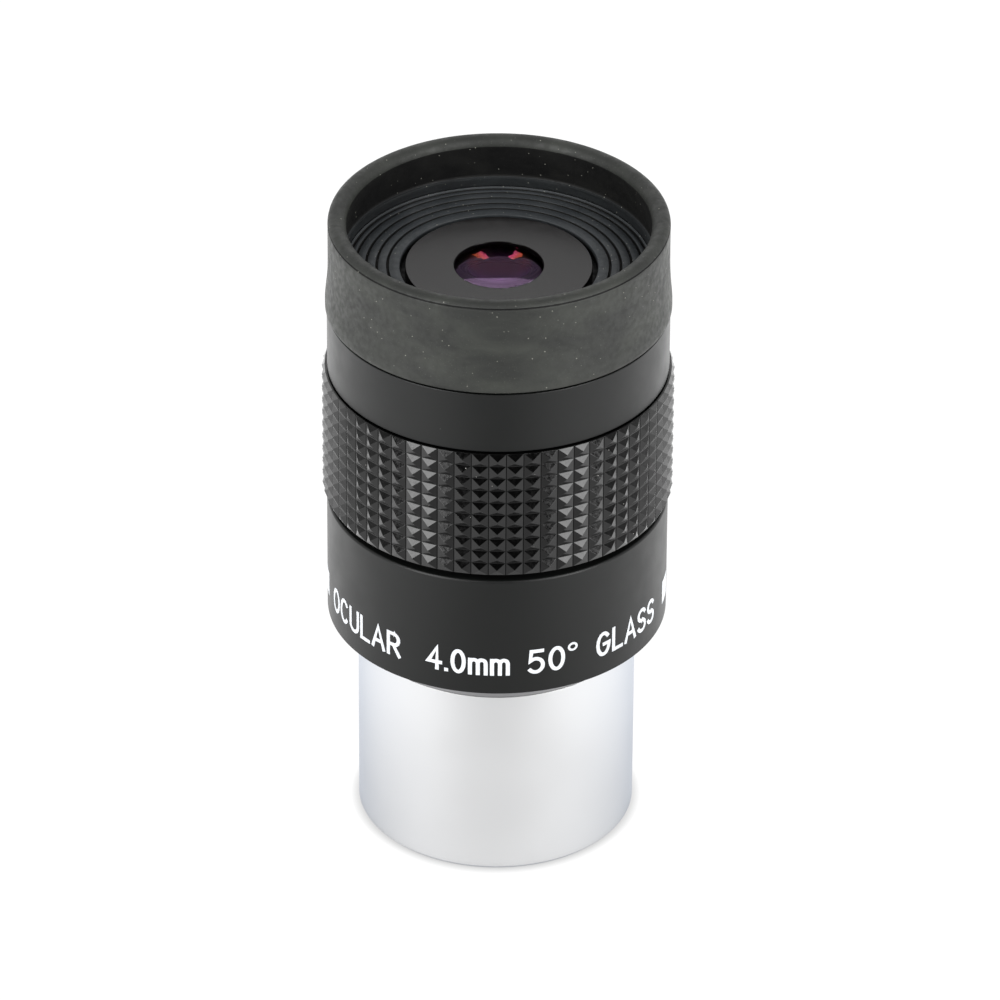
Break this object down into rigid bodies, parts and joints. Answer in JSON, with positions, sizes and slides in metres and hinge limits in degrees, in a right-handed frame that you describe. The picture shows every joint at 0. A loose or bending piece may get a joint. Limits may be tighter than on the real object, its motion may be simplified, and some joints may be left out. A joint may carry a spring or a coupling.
{
  "type": "telescope eyepiece",
  "caption": "Cylindrical telescope eyepiece: chromed push-fit barrel, black screw-on housing with a ribbed rubber grip, and a rubber eyecup that folds down around the eye lens.",
  "frame": {"origin": "centre of the barrel's bottom face", "axes": "+Z along the optical axis, from the barrel towards the eye; the object is turned about Z, so X and Y are free"},
  "size_m": [0.0398, 0.0398, 0.0776],
  "materials": {
    "barrel_chrome": "satin chrome plate on brass",
    "grey_anodised": "matte grey anodised",
    "black_anodised": "satin black anodised, white engraved lettering",
    "blackened_metal": "dead-matte black inside finish",
    "plate_black": "semi-matte black",
    "grip_rubber": "moulded rubber with square pyramids",
    "eyecup_rubber": "matte, slightly dusty moulded rubber",
    "coated_glass": "purple multi-coating"
  },
  "bodies": {
    "barrel_group": {"barrel": "barrel_chrome", "lower_cell": "blackened_metal", "lower_retaining_ring": "blackened_metal", "lower_flint": "coated_glass", "lower_crown": "coated_glass", "barrel_baffle": "blackened_metal"},
    "seating_ring_group": {"seating_ring": "grey_anodised"},
    "housing_group": {"lower_housing": "black_anodised", "upper_housing": "black_anodised", "grip_ring": "grip_rubber", "eyecup_base": "eyecup_rubber", "lens_cell": "blackened_metal", "eye_lens_plate": "plate_black", "eye_lens": "coated_glass", "eye_lens_spacer": "blackened_metal", "doublet_crown": "coated_glass", "doublet_flint": "coated_glass", "doublet_spacer": "blackened_metal", "field_lens": "coated_glass", "field_stop": "blackened_metal", "field_stop_ring": "blackened_metal"},
    "eyecup_rim_group": {"eyecup_wall": "eyecup_rubber", "eyecup_rim": "eyecup_rubber"}
  },
  "joints": [
    {"name": "housing_lift", "type": "slide", "parent": "barrel_group", "child": "seating_ring_group", "axis": [0, 0, 1], "range_m": [0, 0.00469]},
    {"name": "housing_turn", "type": "hinge", "parent": "seating_ring_group", "child": "housing_group", "pos_m": [0, 0, 0.02675], "axis": [0, 0, 1], "range_deg": [0, 2251]},
    {"name": "eyecup_fold", "type": "slide", "parent": "housing_group", "child": "eyecup_rim_group", "axis": [0, 0, -1], "range_m": [0, 0.0047], "deforming": ["eyecup_wall"]}
  ],
  "couplings": [
    {"joint": "housing_turn", "follows": "housing_lift", "rad_per_m": 8377.6}
  ]
}
